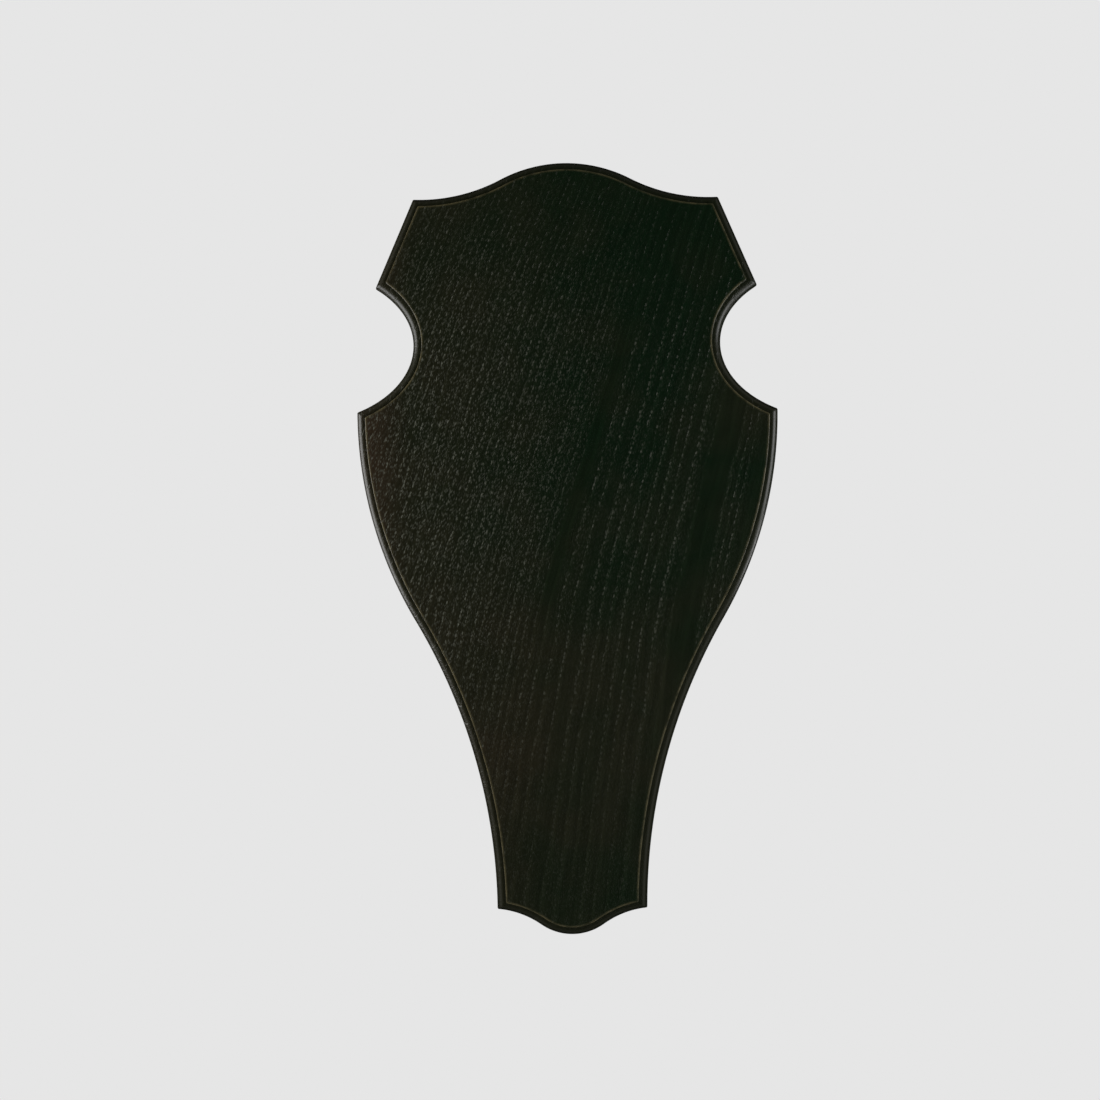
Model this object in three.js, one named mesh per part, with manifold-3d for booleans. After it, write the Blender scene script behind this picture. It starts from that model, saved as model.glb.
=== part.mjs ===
// Antler mounting plaque: one oak board sawn to a shield outline, with a moulding worked round its
// front edge and a keyhole recess in its back to hang it by.
// Millimetres. The back lies in the plane Y = 0, the front faces -Y and +Z is up. The origin is on
// the back, on the centre line at mid height.

import * as THREE from 'three';
import { mergeVertices } from 'three/addons/utils/BufferGeometryUtils.js';
import Module from 'manifold-3d';

// Board
const HEIGHT = 220;
const THICKNESS = 15;

// Crown: a round nose in the middle of the top edge, and a hollow from it to each shoulder
const SHOULDER_WIDTH = 87;
const SHOULDER_DROP = 10;
const CROWN_NOSE_RADIUS = 40.2;
const SHOULDER_FLARE_DEG = 2.7;

// Sides from the shoulders to the notches lean out from upright by this angle
const SLANT_DEG = 23.4;

// Notches: an oval cut into each side, deepest at the waist
const WAIST_WIDTH = 87.6;
const WAIST_DROP = 51.6;
const NOTCH_REACH = 31.6;
const NOTCH_RISE = 21.7;

// Belly, which is round, and neck, which is hollow
const BELLY_WIDTH = 120;
const BELLY_DROP = 71.1;
const BELLY_RADIUS = 117;
const NECK_WIDTH = 42.8;
const NECK_RADIUS = 165;

// Foot: the same kind of curve as the crown, turned over
const FOOT_RISE = 7.4;
const FOOT_NOSE_RADIUS = 15.6;
const FOOT_FLARE_DEG = -5.2;

// Edge moulding, from the outside in: a quarter round, a narrow shelf and a step up to the face
const ROUND_WIDTH = 2.4;
const ROUND_HEIGHT = 3.9;
const SHELF_WIDTH = 0.5;
const STEP_HEIGHT = 1.1;

// Keyhole recess: the screw's head goes in at the entry and slides up the channel behind the lip
const KEYHOLE_DROP = 36;
const KEYHOLE_TRAVEL = 14;
const ENTRY_DIAMETER = 11;
const CHANNEL_WIDTH = 10.4;
const SHANK_WIDTH = 5;
const LIP_THICKNESS = 3;
const HEAD_ROOM = 5;

// How finely each smooth run is divided, and each quarter round and keyhole arc
const CROWN_STEPS = 18;
const SLANT_STEPS = 1;
const NOTCH_STEPS = 18;
const FLANK_STEPS = 28;
const FOOT_STEPS = 11;
const ROUND_STEPS = 5;
const KEYHOLE_STEPS = 16;

const TOP = HEIGHT / 2;
const FRONT = -THICKNESS;

const wasm = await Module();
wasm.setup();

// A run is a smooth stretch of the outline, going down the right-hand side. It is a function of the
// way along it that returns a point of the outline and the direction from there into the wood. It
// goes on past its corners, so that two runs still meet when both are moved into the wood.
function along(x, z, heading) {
  return { x, z, inX: Math.sin(heading), inZ: -Math.cos(heading) };
}

// A chain of arcs that touch. A negative bend turns it right, round the wood, and a positive one left.
function chainRun(x, z, heading, arcs) {
  return (way) => {
    let [startX, startZ, startHeading, left] = [x, z, heading, way];
    for (const [index, { length, bend }] of arcs.entries()) {
      const here = index === arcs.length - 1 ? left : Math.min(left, length);
      const turned = startHeading + bend * here;
      startX += (Math.sin(turned) - Math.sin(startHeading)) / bend;
      startZ -= (Math.cos(turned) - Math.cos(startHeading)) / bend;
      startHeading = turned;
      left -= here;
      if (left <= 0) break;
    }
    return along(startX, startZ, startHeading);
  };
}

function lineRun(x, z, heading) {
  return (way) => along(x + way * Math.cos(heading), z + way * Math.sin(heading), heading);
}

function ovalRun(centreX, centreZ, reach, rise) {
  return (angle) => {
    const heading = Math.atan2(rise * Math.cos(angle), -reach * Math.sin(angle));
    const x = centreX + reach * Math.cos(angle);
    const z = centreZ + rise * Math.sin(angle);
    return along(x, z, heading);
  };
}

// Crown and foot edge: a round nose that starts level on the centre line, then a hollow that ends at
// the corner, rising again by the flare. The hollow's radius follows from the nose and the corner.
function ogee(noseRadius, halfWidth, drop, flare) {
  const spare = halfWidth ** 2 + drop ** 2 - 2 * noseRadius * drop;
  const pull = noseRadius * (1 - Math.cos(flare)) + halfWidth * Math.sin(flare) + drop * Math.cos(flare);
  const hollowRadius = spare / (2 * pull);
  const acrossCentres = halfWidth - hollowRadius * Math.sin(flare);
  const upCentres = noseRadius - drop + hollowRadius * Math.cos(flare);
  const slope = Math.atan2(acrossCentres, upCentres);
  const nose = { length: noseRadius * slope, bend: -1 / noseRadius };
  const hollow = { length: hollowRadius * (slope + flare), bend: 1 / hollowRadius };
  return { nose, hollow };
}

const crown = ogee(
  CROWN_NOSE_RADIUS,
  SHOULDER_WIDTH / 2,
  SHOULDER_DROP,
  THREE.MathUtils.degToRad(SHOULDER_FLARE_DEG),
);
const crownRun = chainRun(0, TOP, 0, [crown.nose, crown.hollow]);
const crownLength = crown.nose.length + crown.hollow.length;

const slant = THREE.MathUtils.degToRad(SLANT_DEG);
const slantRun = lineRun(SHOULDER_WIDTH / 2, TOP - SHOULDER_DROP, slant - Math.PI / 2);

const waistLevel = TOP - WAIST_DROP;
const notchCentreX = WAIST_WIDTH / 2 + NOTCH_REACH;
const notchRun = ovalRun(notchCentreX, waistLevel, NOTCH_REACH, NOTCH_RISE);

// The belly's circle and the neck's circle touch, which sets how far the neck lies below the belly.
const bellyLevel = TOP - BELLY_DROP;
const bellyCentreX = BELLY_WIDTH / 2 - BELLY_RADIUS;
const neckCentreX = NECK_WIDTH / 2 + NECK_RADIUS;
const neckFall = Math.sqrt((BELLY_RADIUS + NECK_RADIUS) ** 2 - (neckCentreX - bellyCentreX) ** 2);
const neckLevel = bellyLevel - neckFall;
const flankTurn = Math.atan2(neckFall, neckCentreX - bellyCentreX);
const flankRun = chainRun(BELLY_WIDTH / 2, bellyLevel, -Math.PI / 2, [
  { length: BELLY_RADIUS * flankTurn, bend: -1 / BELLY_RADIUS },
  { length: NECK_RADIUS * flankTurn, bend: 1 / NECK_RADIUS },
]);

const footLevel = FOOT_RISE - TOP;
const neckTurn = Math.asin((footLevel - neckLevel) / NECK_RADIUS);
const flankLength = BELLY_RADIUS * flankTurn + NECK_RADIUS * (flankTurn - neckTurn);
const footHalfWidth = neckCentreX - NECK_RADIUS * Math.cos(neckTurn);
const footFlare = THREE.MathUtils.degToRad(FOOT_FLARE_DEG);
const foot = ogee(FOOT_NOSE_RADIUS, footHalfWidth, FOOT_RISE, footFlare);
const footRun = chainRun(footHalfWidth, footLevel, -Math.PI - footFlare, [foot.hollow, foot.nose]);
const footLength = foot.hollow.length + foot.nose.length;

// Ways along the two runs at which they meet, when both are moved into the wood by the inset.
function meet(first, second, inset, guess) {
  const STEP = 1e-4;
  const gap = (a, b) => {
    const [p, q] = [first(a), second(b)];
    return [p.x + inset * p.inX - q.x - inset * q.inX, p.z + inset * p.inZ - q.z - inset * q.inZ];
  };
  let [a, b] = guess;
  for (let round = 0; round < 25; round += 1) {
    const [x, z] = gap(a, b);
    const [ax, az] = gap(a + STEP, b).map((value, i) => (value - [x, z][i]) / STEP);
    const [bx, bz] = gap(a, b + STEP).map((value, i) => (value - [x, z][i]) / STEP);
    const scale = ax * bz - az * bx;
    a -= (x * bz - z * bx) / scale;
    b -= (ax * z - az * x) / scale;
  }
  return [a, b];
}

// Where the runs meet on the outline itself: shoulder, upper tip of the notch, hip and foot corner.
const tipGuess = [(TOP - SHOULDER_DROP - waistLevel - 0.8 * NOTCH_RISE) / Math.cos(slant), 0.7 * Math.PI];
const hipGuess = [1.34 * Math.PI, 0];
const corners = [
  { runs: [crownRun, slantRun], guess: [crownLength, 0] },
  { runs: [slantRun, notchRun], guess: tipGuess },
  { runs: [notchRun, flankRun], guess: hipGuess },
  { runs: [flankRun, footRun], guess: [flankLength, 0] },
];
const stretches = [
  { run: crownRun, steps: CROWN_STEPS },
  { run: slantRun, steps: SLANT_STEPS },
  { run: notchRun, steps: NOTCH_STEPS },
  { run: flankRun, steps: FLANK_STEPS },
  { run: footRun, steps: FOOT_STEPS },
];

// The whole outline, moved into the wood by the inset, clockwise as seen from the front.
function outline(inset) {
  const ways = corners.map(({ runs, guess }) => meet(...runs, inset, guess));
  const starts = [0, ...ways.map(([, second]) => second)];
  const ends = [...ways.map(([first]) => first), footLength];
  const right = stretches.flatMap(({ run, steps }, index) =>
    Array.from({ length: steps }, (_, step) => {
      const way = starts[index] + ((ends[index] - starts[index]) * step) / steps;
      const { x, z, inX, inZ } = run(way);
      return new THREE.Vector2(x + inset * inX, z + inset * inZ);
    }),
  );
  right[0].x = 0;
  const bottom = new THREE.Vector2(0, inset - TOP);
  const left = right.slice(1).reverse();
  return [...right, bottom, ...left.map((point) => new THREE.Vector2(-point.x, point.y))];
}

// Section of the edge, from the back to the face: how far in from the outline, and where in Y.
function edgeSection() {
  const faceInset = ROUND_WIDTH + SHELF_WIDTH;
  const shelf = FRONT + STEP_HEIGHT;
  const section = [{ inset: 0, y: 0 }];
  for (let step = 0; step <= ROUND_STEPS; step += 1) {
    const angle = ((Math.PI / 2) * step) / ROUND_STEPS;
    const inset = ROUND_WIDTH * (1 - Math.cos(angle));
    section.push({ inset, y: shelf + ROUND_HEIGHT * (1 - Math.sin(angle)) });
  }
  section.push({ inset: faceInset, y: shelf }, { inset: faceInset, y: FRONT });
  return section;
}

// The board is the edge section carried round the outline, closed by the back and the face.
function boardGeometry() {
  const rings = edgeSection().map(({ inset, y }) => ({ y, points: outline(inset) }));
  const count = rings[0].points.length;
  const positions = rings.flatMap(({ y, points }) => points.flatMap((point) => [point.x, y, point.y]));
  const triangles = [];
  for (let ring = 0; ring < rings.length - 1; ring += 1) {
    for (let index = 0; index < count; index += 1) {
      const next = (index + 1) % count;
      const [back, front] = [ring * count, (ring + 1) * count];
      triangles.push(back + index, front + index, front + next);
      triangles.push(back + index, front + next, back + next);
    }
  }
  const caps = [
    { ring: 0, facesFront: false },
    { ring: rings.length - 1, facesFront: true },
  ];
  for (const { ring, facesFront } of caps) {
    const { points } = rings[ring];
    for (const face of THREE.ShapeUtils.triangulateShape(points, [])) {
      const turnsLeft = THREE.ShapeUtils.area(face.map((index) => points[index])) > 0;
      const ordered = turnsLeft === facesFront ? face : [...face].reverse();
      triangles.push(...ordered.map((index) => ring * count + index));
    }
  }
  const geometry = new THREE.BufferGeometry();
  geometry.setAttribute('position', new THREE.Float32BufferAttribute(positions, 3));
  geometry.setIndex(triangles);
  return geometry;
}

// A slot with round ends, standing upright on the centre line, cut in from one Y to another.
function slotGeometry(width, lowZ, highZ, fromY, toY) {
  const shape = new THREE.Shape();
  shape.absarc(0, highZ, width / 2, 0, Math.PI, false);
  shape.absarc(0, lowZ, width / 2, Math.PI, 2 * Math.PI, false);
  const geometry = new THREE.ExtrudeGeometry(shape, {
    depth: fromY - toY,
    bevelEnabled: false,
    curveSegments: KEYHOLE_STEPS,
  });
  geometry.rotateX(Math.PI / 2);
  geometry.translate(0, fromY, 0);
  return geometry;
}

function entryGeometry(level, fromY, toY) {
  const geometry = new THREE.CylinderGeometry(
    ENTRY_DIAMETER / 2,
    ENTRY_DIAMETER / 2,
    fromY - toY,
    2 * KEYHOLE_STEPS,
  );
  geometry.translate(0, (fromY + toY) / 2, level);
  return geometry;
}

function toSolid(geometry) {
  geometry.deleteAttribute('normal');
  geometry.deleteAttribute('uv');
  const merged = mergeVertices(geometry);
  const vertProperties = merged.attributes.position.array;
  const triVerts = Uint32Array.from(merged.index.array);
  return new wasm.Manifold(new wasm.Mesh({ numProp: 3, vertProperties, triVerts }));
}

function toGeometry(solid) {
  const { vertProperties, triVerts } = solid.getMesh();
  const geometry = new THREE.BufferGeometry();
  geometry.setAttribute('position', new THREE.BufferAttribute(vertProperties, 3));
  geometry.setIndex(new THREE.BufferAttribute(triVerts, 1));
  geometry.computeVertexNormals();
  return geometry;
}

// Keyhole: the entry, the channel for the head behind the lip, and the narrow slot through the lip.
function keyhole() {
  const BEHIND = 1;
  const highZ = TOP - KEYHOLE_DROP;
  const lowZ = highZ - KEYHOLE_TRAVEL;
  const floor = -(LIP_THICKNESS + HEAD_ROOM);
  const entry = toSolid(entryGeometry(lowZ, BEHIND, floor));
  const channel = toSolid(slotGeometry(CHANNEL_WIDTH, lowZ, highZ, -LIP_THICKNESS, floor));
  const shank = toSolid(slotGeometry(SHANK_WIDTH, lowZ, highZ, BEHIND, floor));
  return entry.add(channel).add(shank);
}

const stainedOak = new THREE.MeshStandardMaterial({ color: 0x1a1b14, roughness: 0.45, metalness: 0 });

const board = new THREE.Mesh(toGeometry(toSolid(boardGeometry()).subtract(keyhole())), stainedOak);
board.name = 'plaque_board';

const group = new THREE.Group();
group.add(board);

export default group;
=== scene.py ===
"""Antler mounting plaque: a shield-shaped oak board with a moulded edge, stained black and lacquered.

The script is laid out as an add-on and run as a script. Lengths are in metres unless a name says
otherwise. The board's back lies in the plane Y = 0, its front faces -Y and +Z is up.
"""

import math

import bpy
import numpy as np
from bpy.props import FloatProperty, FloatVectorProperty, PointerProperty
from mathutils import Matrix, Vector
from mathutils.geometry import tessellate_polygon


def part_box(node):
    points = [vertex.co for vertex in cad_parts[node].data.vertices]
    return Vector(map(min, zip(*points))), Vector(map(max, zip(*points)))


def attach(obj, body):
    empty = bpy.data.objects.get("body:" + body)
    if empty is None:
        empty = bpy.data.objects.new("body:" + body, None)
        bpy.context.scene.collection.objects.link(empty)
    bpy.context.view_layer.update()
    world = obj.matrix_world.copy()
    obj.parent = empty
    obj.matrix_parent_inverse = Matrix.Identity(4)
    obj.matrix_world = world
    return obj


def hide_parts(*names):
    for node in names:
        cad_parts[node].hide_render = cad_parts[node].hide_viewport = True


bl_info = {
    "name": "Antler mounting plaque",
    "version": (1, 0, 0),
    "blender": (4, 5, 0),
    "location": "3D View > Sidebar > Plaque",
    "description": "Builds a stained oak antler plaque and the studio it is pictured in",
    "category": "Add Mesh",
}

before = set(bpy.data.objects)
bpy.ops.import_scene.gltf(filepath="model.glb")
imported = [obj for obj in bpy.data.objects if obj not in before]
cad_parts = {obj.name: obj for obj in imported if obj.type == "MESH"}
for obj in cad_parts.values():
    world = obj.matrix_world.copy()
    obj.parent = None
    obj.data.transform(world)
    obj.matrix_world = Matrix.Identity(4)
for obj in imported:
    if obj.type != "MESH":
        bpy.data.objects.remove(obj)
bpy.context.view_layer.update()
BOARD_LOW, BOARD_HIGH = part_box("plaque_board")

MM = 0.001


# Sizes and settings

def length(name, description, default):
    """A size of the board that a user may set."""
    return FloatProperty(
        name=name, description=description, default=default, min=0.0, unit="LENGTH", precision=5
    )


def angle(name, description, degrees):
    """An angle of the board's outline that a user may set."""
    return FloatProperty(
        name=name, description=description, default=math.radians(degrees), subtype="ANGLE"
    )


def colour(name, description, default):
    """A colour that a user may set, in linear light."""
    return FloatVectorProperty(
        name=name, description=description, default=default, subtype="COLOR", min=0.0, max=1.0
    )


def factor(name, description, default, high=1.0):
    """A share or a gain that a user may set."""
    return FloatProperty(
        name=name, description=description, default=default, min=0.0, max=high, subtype="FACTOR"
    )


def power(name, description, watts):
    """A light's power that a user may set."""
    return FloatProperty(name=name, description=description, default=watts, min=0.0, unit="POWER")


class PlaqueOutline(bpy.types.PropertyGroup):
    """Sizes of the board and of its shield outline."""

    height: length("Height", "From the crown's top to the foot", BOARD_HIGH[2] - BOARD_LOW[2])
    thickness: length("Thickness", "From the back to the face", BOARD_HIGH[1] - BOARD_LOW[1])
    shoulder_width: length("Shoulder width", "Across the two shoulder corners", 87.0 * MM)
    shoulder_drop: length("Shoulder drop", "From the top down to the shoulders", 10.0 * MM)
    crown_nose: length("Crown nose radius", "Of the round in the middle of the top", 40.2 * MM)
    crown_flare: angle("Crown flare", "How far the top edge rises again at the shoulder", 2.7)
    slant: angle("Slant", "Lean of the straight sides out from upright", 23.4)
    waist_width: length("Waist width", "Across the deepest points of the notches", 87.6 * MM)
    waist_drop: length("Waist drop", "From the top down to the waist", 51.6 * MM)
    notch_reach: length("Notch reach", "Level half axis of the notch's oval", 31.6 * MM)
    notch_rise: length("Notch rise", "Upright half axis of the notch's oval", 21.7 * MM)
    belly_width: length("Belly width", "Across the widest part", BOARD_HIGH[0] - BOARD_LOW[0])
    belly_drop: length("Belly drop", "From the top down to the widest part", 71.1 * MM)
    belly_radius: length("Belly radius", "Of the round below the notches", 117.0 * MM)
    neck_width: length("Neck width", "Across the narrowest part", 42.8 * MM)
    neck_radius: length("Neck radius", "Of the hollow above the foot", 165.0 * MM)
    foot_rise: length("Foot rise", "From the foot's end up to its corners", 7.4 * MM)
    foot_nose: length("Foot nose radius", "Of the round in the middle of the foot", 15.6 * MM)
    foot_flare: angle("Foot flare", "How far the foot edge turns back at its corners", -5.2)


class PlaqueEdge(bpy.types.PropertyGroup):
    """Sizes of the edge moulding and of the softened corners."""

    round_width: length("Round width", "Of the quarter round, into the board", 2.2 * MM)
    round_height: length("Round height", "Of the quarter round, towards the face", 3.9 * MM)
    shelf_width: length("Shelf width", "Of the flat between the round and the step", 0.5 * MM)
    step_height: length("Step height", "From the shelf up to the face", 1.1 * MM)
    face_edge: length("Face edge radius", "Of the sanded edge of the face", 0.28 * MM)
    shelf_fillet: length("Shelf fillet", "In the angle between the shelf and the step", 0.15 * MM)
    back_edge: length("Back edge radius", "Of the sanded edge of the back", 0.7 * MM)
    undercut: length("Undercut", "How far the wall leans in towards the back", 0.8 * MM)
    corner_ease: length("Corner ease", "How far each corner of the outline is rubbed back", 0.4 * MM)


class PlaqueKeyhole(bpy.types.PropertyGroup):
    """Sizes of the keyhole recess in the back."""

    drop: length("Drop", "From the top of the board down to the slot's upper end", 36.0 * MM)
    travel: length("Travel", "From the entry up to the slot's upper end", 14.0 * MM)
    entry: length("Entry diameter", "Of the hole that the screw's head goes in at", 11.0 * MM)
    channel: length("Channel width", "Of the hidden channel for the head", 10.4 * MM)
    shank: length("Slot width", "Of the slot in the lip, for the shank", 5.0 * MM)
    lip: length("Lip thickness", "Of the wood that the head hangs behind", 3.0 * MM)
    room: length("Head room", "Depth of the channel behind the lip", 5.0 * MM)
    ease: length("Eased rim", "Small bevel round the recess's mouth", 0.35 * MM)


class PlaqueFinish(bpy.types.PropertyGroup):
    """Colours of the wood, its stain and its lacquer, with painted light, shade and glints in some of
    them.
    """

    # The two ends of the face's tone: stain with painted shade at the cool end, stain with painted warm
    # light at the warm end.
    cool_stain_and_shade: colour("Cool stain", "Green-black stain, as on the upper right", (0.0022, 0.0088, 0.0033))
    warm_stain_and_light: colour("Warm stain", "Brown-black stain, as on the left", (0.0140, 0.0128, 0.0068))
    edge_stain: colour("Edge stain", "Stain on the moulding", (0.0120, 0.0120, 0.0060))
    early_gain: factor("Early wood gain", "How much paler the open part of a ring is", 1.2, 10.0)
    # The pores' colour: wax and dust, made paler by a painted glint off the pore walls.
    pore_wax_and_glint: colour("Pores", "Wax and dust left in the open pores", (0.1040, 0.1090, 0.0890))
    rubbed: colour("Rubbed edge", "Oak that shows where the stain is rubbed off", (0.1000, 0.0860, 0.0450))
    raw_wood: colour("Raw wood", "Fresh oak inside the recess", (0.3300, 0.2050, 0.1000))
    back_stain: colour("Back stain", "Thin single coat of stain on the back", (0.0330, 0.0250, 0.0150))
    sheen: factor("Lacquer roughness", "How blurred the lacquer's reflections are", 0.30)
    pore_depth: length("Pore depth", "How deep the pores are", 0.08 * MM)


class PlaqueStudio(bpy.types.PropertyGroup):
    """The studio: camera, soft lights, background and floor."""

    distance: length("Camera distance", "From the camera to the board's outer edge", 0.480)
    roll: angle("Camera roll", "Turn of the camera about the way it looks", -0.578)
    backdrop: colour("Backdrop", "What the camera sees behind the board", (0.791, 0.791, 0.791))
    dark_room: colour("Dark room", "What the face reflects, round the camera", (0.024, 0.036, 0.024))
    walls: colour("Walls", "The room above and below", (0.105, 0.105, 0.090))
    sides: colour("Sides", "The room at both sides", (0.340, 0.340, 0.300))
    behind: colour("Behind", "What grazing reflections find behind the board", (0.010, 0.012, 0.009))
    fill_power: power("Fill", "Of the broad light in front", 1.85)
    key_power: power("Key", "Of the nearer light on the left", 1.45)
    left_power: power("Left edge light", "Of the soft box on the left", 0.168)
    right_power: power("Right edge light", "Of the soft box on the right", 0.066)
    low_power: power("Low edge light", "Of the low soft box on the right", 0.028)
    rear_power: power("Rear", "Of the broad light behind", 6.0)


# Photograph: its side, where the board's centre and the lens axis fall in it, and the board's scale
PHOTO_SIDE_PX = 1100.0
BOARD_CENTRE_PX = (568.9, 548.7)
LENS_AXIS_PX = (582.5, 587.8)
BOARD_HEIGHT_PX = 769.8
SENSOR_WIDTH_MM = 36.0

# Lights: width and height, place, and the point that they look at
BOARD_MIDDLE = (0.0, -0.01, 0.02)
LEFT_BOX = ((0.105, 0.175), (-0.180, 0.020, 0.0), (0.0, 0.020, 0.0))
RIGHT_BOX = ((0.095, 0.085), (0.180, -0.026, 0.0275), (0.0, -0.026, 0.0275))
LOW_BOX = ((0.07, 0.045), (0.180, 0.045, -0.040), (0.0, 0.045, -0.040))
FILL_LIGHT = ((0.5, 0.4), (0.28, -0.55, -0.12), BOARD_MIDDLE)
KEY_LIGHT = ((0.3, 0.3), (-0.45, -0.14, 0.08), BOARD_MIDDLE)
REAR_LIGHT = ((0.7, 0.5), (-0.35, 0.70, 0.40), BOARD_MIDDLE)
LEFT_BOX_TILT_DEG = -14.0
WHITE, WARM_WHITE = (1.0, 1.0, 1.0), (1.0, 0.93, 0.82)

# The room, by the way a reflected ray goes: how far aside the side walls come in, and how far along
# +Y the dark room in front ends and the dark behind the board begins
SIDE_WALLS, FRONT_ENDS, BEHIND_BEGINS = (0.3, 0.85), (-0.80, -0.15), (0.0, 0.50)
FLOOR_LEVEL, FLOOR_RADIUS = -0.45, 0.90

# The oak's grain, in millimetres across the face: the ring count at some places, and the middles and
# half widths of the strips with few pores. The first of these strips is short
RING_PLACES = (
    (-100.0, -40.2),
    (-3.6, 0.0),
    (2.0, 2.0),
    (13.5, 5.0),
    (28.9, 10.0),
    (41.5, 13.0),
    (46.5, 15.5),
    (100.0, 29.0),
)
QUIET_STRIPS = ((-1.5, 1.9), (37.2, 4.2), (53.5, 5.4))
STRIP_SOFTNESS = 0.3
SHORT_STRIP_LEVEL, SHORT_STRIP_ENDS = 22.0, (32.0, 62.0)

# Bends of the grain: the features of a noise per millimetre, its detail, and how far it moves a place
SLOW_BEND = (0.013, 1.0, (6.0, 2.5, 0.0))
QUICK_BEND = (0.09, 2.0, (1.1, 0.5, 0.0))
SEASON_SCALE, SEASON_SPREAD = 0.21, 0.9

# Shares of a ring between which the row of large pores, and the early wood, come in and fade
ROW_RISE, ROW_FADE = (0.0, 0.05), (0.12, 0.26)
EARLY_RISE, EARLY_FADE = (0.0, 0.06), (0.20, 0.55)

# Pores: their pitch round and along the log in millimetres, and how far their core and rim reach in
# a cell. RING_SHIFT moves the cells by so many from ring to ring. The fine pores lie in thin layers
ROW_PORES = (0.80, 1.50, 0.18, 0.45)
FINE_PORES = (0.62, 1.45, 0.12, 0.40)
RING_SHIFT, PORE_SCATTER, FINE_LAYER = (5.37, 3.71), 0.95, 0.36

# Strength of a single pore: a smooth step over a random value
PORE_STRENGTH = (0.05, 0.9, 0.15, 1.0)

# How strongly fine pores show: anywhere, and what early wood, the crowded side and the foot add.
# Towards the foot the rows fade to a share
FINE_SHARE, FINE_IN_EARLY, FINE_IN_CROWD, FINE_AT_FOOT = 0.30, 0.35, 0.42, 0.22
FOOT_STARTS, ROWS_AT_FOOT = (-90.0, -40.0), 0.45

# Fibres: the share to which the way along the log is shrunk. Noises: scale, detail and roughness
FIBRE_STRETCH, FIBRE_NOISE, PATCH_NOISE = 0.045, (1.6, 3.0, 0.6), (0.055, 2.0)

# Relief of the fine pores and of the fibres, as shares of the large pores' depth
FINE_DEPTH, FIBRE_RELIEF = 0.4, 0.05

# Drift of the stain's tone over the face, with painted light and painted shade in it, and how strongly the
# pores show with their painted glint. Of each smooth step: the two places in millimetres between which it
# runs, and its two values. The patches' step runs between two values of a noise instead
LEFT_LEAN, BELT_LEVEL, SPOT_MIDDLE = 0.07, -52.0, (52.0, 42.0)
# Painted warm light: warmer and paler towards the left, where the warm key light falls.
WARM_LIGHT_FROM_LEFT = (-60.0, 24.0, 0.72, 0.05)
WARM_BELT = (0.0, 66.0, 0.55, 0.0)
SPOT_ASIDE, SPOT_UP = (2.0, 24.0, 0.6, 0.0), (2.0, 24.0, 1.0, 0.0)
# Painted sheen: the face made paler and warmer close to its left-hand edge.
LEFT_EDGE_SHEEN = (-60.0, -42.0, 1.35, 0.0)
# Painted shade: the face darker and greener towards the upper right.
UPPER_RIGHT_SHADE = (70.0, 130.0, 0.0, -0.14)
WARM_PATCHES = (0.3, 0.7, -0.12, 0.25)
# How strongly the pores show: wax in them and a painted glint, strongest on the left where the light
# falls, fading to the right, the foot, the crown and the upper right.
SHOW_TO_RIGHT = (-60.0, 8.0, 1.03, 0.45)
SHOW_TO_FOOT = (-85.0, 10.0, 0.34, 1.0)
SHOW_TO_CROWN = (50.0, 108.0, 1.0, 0.36)
SHOW_RIGHT_EDGE = (42.0, 56.0, 1.0, 0.7)
SHOW_UPPER_RIGHT = (56.0, 122.0, 1.0, 0.42)

# Finishes: steps between two values of a noise, shares of a colour left in early wood and in pores,
# and how far a finish covers, fills or dulls
STREAK_GAIN, BACK_STREAK_GAIN = (0.3, 0.75, 0.82, 1.2), (0.25, 0.75, 0.6, 1.5)
WEAR_NOISE, WEAR = (0.35, 3.0, 0.6), (0.3, 0.62, 0.25, 1.0)
EARLY_SHADE, BACK_PORE_SHADE, RAW_PORE_SHADE = 0.55, 0.3, 0.25
# FINE_FILLED_AND_GLINT: how far the fine pores take the wax and the painted glint.
FINE_FILLED_AND_GLINT, EDGE_STAIN_COVER, PORE_DULLNESS = 0.75, 0.7, 0.2
SHEEN_STREAKS, SHEEN_BELOW, SHEEN_ABOVE = (0.2, 0.8), 0.03, 0.05
BACK_ROUGHNESS, RAW_ROUGHNESS = 0.62, 0.75

# How finely the outline's runs, its eased corners and the parts of the edge are divided
CROWN_STEPS, SLANT_STEPS, NOTCH_STEPS, FLANK_STEPS, FOOT_STEPS = 84, 26, 76, 150, 52
CORNER_STEPS = 5
ROUND_STEPS, SMALL_ROUND_STEPS, WALL_STEPS = 16, 6, 4
SLOT_END_STEPS, SLOT_SIDE_STEPS, ENTRY_STEPS = 32, 8, 56
SHARP_FROM_DEG = 28.0

# Width of the narrow flat rings that part the rounded edges from the large flat faces
FLAT_RIM = 0.4 * MM


# The outline

def chain(x, z, heading, arcs):
    """A run of arcs that touch, as a function of the way along it.

    Each arc is a pair of its length and its bend, which is one over its radius and negative where
    it turns right. A point on an arc lies at its start plus the difference of the sines, and minus
    the difference of the cosines, of the headings there and at the start, over the bend. The first
    and last arcs go on past the run's ends. The function gives x, z and the heading.
    """
    starts = [(0.0, x, z, heading)]
    for size, bend in arcs:
        way, x, z, heading = starts[-1]
        turned = heading + bend * size
        x += (math.sin(turned) - math.sin(heading)) / bend
        z -= (math.cos(turned) - math.cos(heading)) / bend
        starts.append((way + size, x, z, turned))
    ways, xs, zs, headings = np.array(starts).T
    bends = np.array([bend for _, bend in arcs])

    def run(way):
        index = np.clip(np.searchsorted(ways, way, side="right") - 1, 0, len(arcs) - 1)
        start, bend = headings[index], bends[index]
        now = start + bend * (way - ways[index])
        across = xs[index] + (np.sin(now) - np.sin(start)) / bend
        up = zs[index] - (np.cos(now) - np.cos(start)) / bend
        return across, up, now

    return run


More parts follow.
